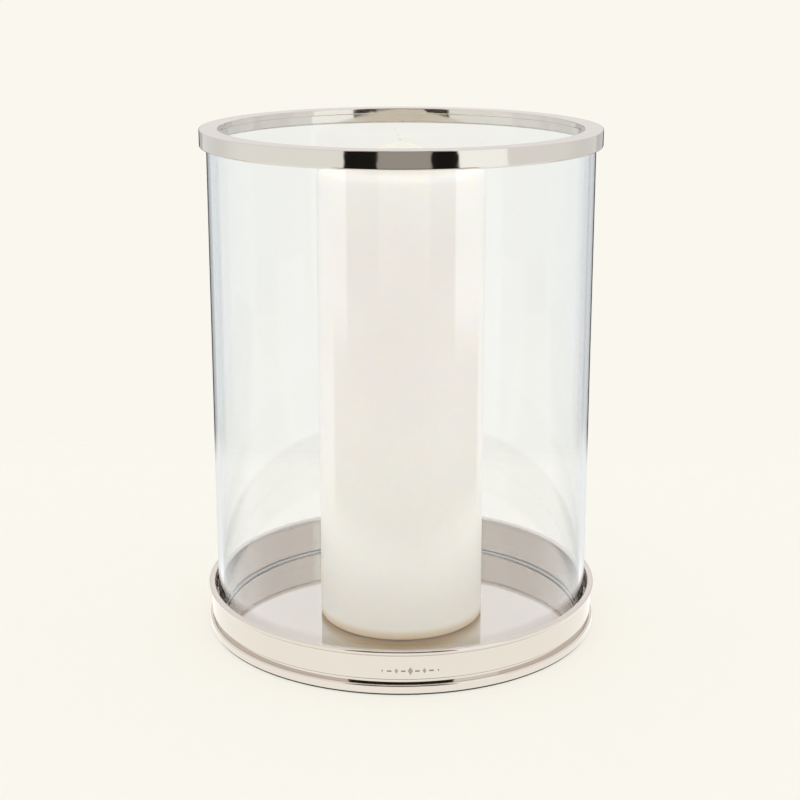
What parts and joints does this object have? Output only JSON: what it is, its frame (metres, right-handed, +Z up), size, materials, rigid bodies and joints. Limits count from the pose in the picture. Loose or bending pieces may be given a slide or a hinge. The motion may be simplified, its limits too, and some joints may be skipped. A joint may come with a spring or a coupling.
{
  "type": "hurricane candle lantern",
  "caption": "Hurricane candle lantern: polished nickel tray with a felt base, clear glass cylinder capped by a nickel ring, and a tall ivory pillar candle.",
  "frame": {"origin": "on the lantern's axis, at the underside of the felt pad, which is the surface it stands on", "axes": "+Z up the lantern's axis; -Y towards the front, where the engraved border is; +X to the right as seen from the front"},
  "size_m": [0.242, 0.242, 0.309],
  "materials": {
    "nickel": "polished nickel plate, warm tone",
    "felt": "dark slate wool felt",
    "glass": "clear soda-lime glass, ground edges",
    "silicone": "translucent clear silicone",
    "wax": "satin ivory paraffin wax",
    "cotton": "braided cotton, waxed, unburnt",
    "tinplate": "tin-plated steel"
  },
  "bodies": {
    "base": {"tray_pan": "nickel", "foot_ring": "nickel", "felt_pad": "felt"},
    "shade": {"glass_cylinder": "glass", "rim_ring": "nickel", "rim_inner_band": "nickel", "rim_seat": "silicone"},
    "candle": {"candle_wax": "wax", "candle_wick": "cotton", "wick_sustainer": "tinplate"}
  },
  "joints": [
    {"name": "shade_lift", "type": "slide", "parent": "base", "child": "shade", "axis": [0, 0, 1], "range_m": [0, 0.32]},
    {"name": "candle_lift", "type": "slide", "parent": "base", "child": "candle", "axis": [0, 0, 1], "range_m": [0, 0.32]}
  ]
}
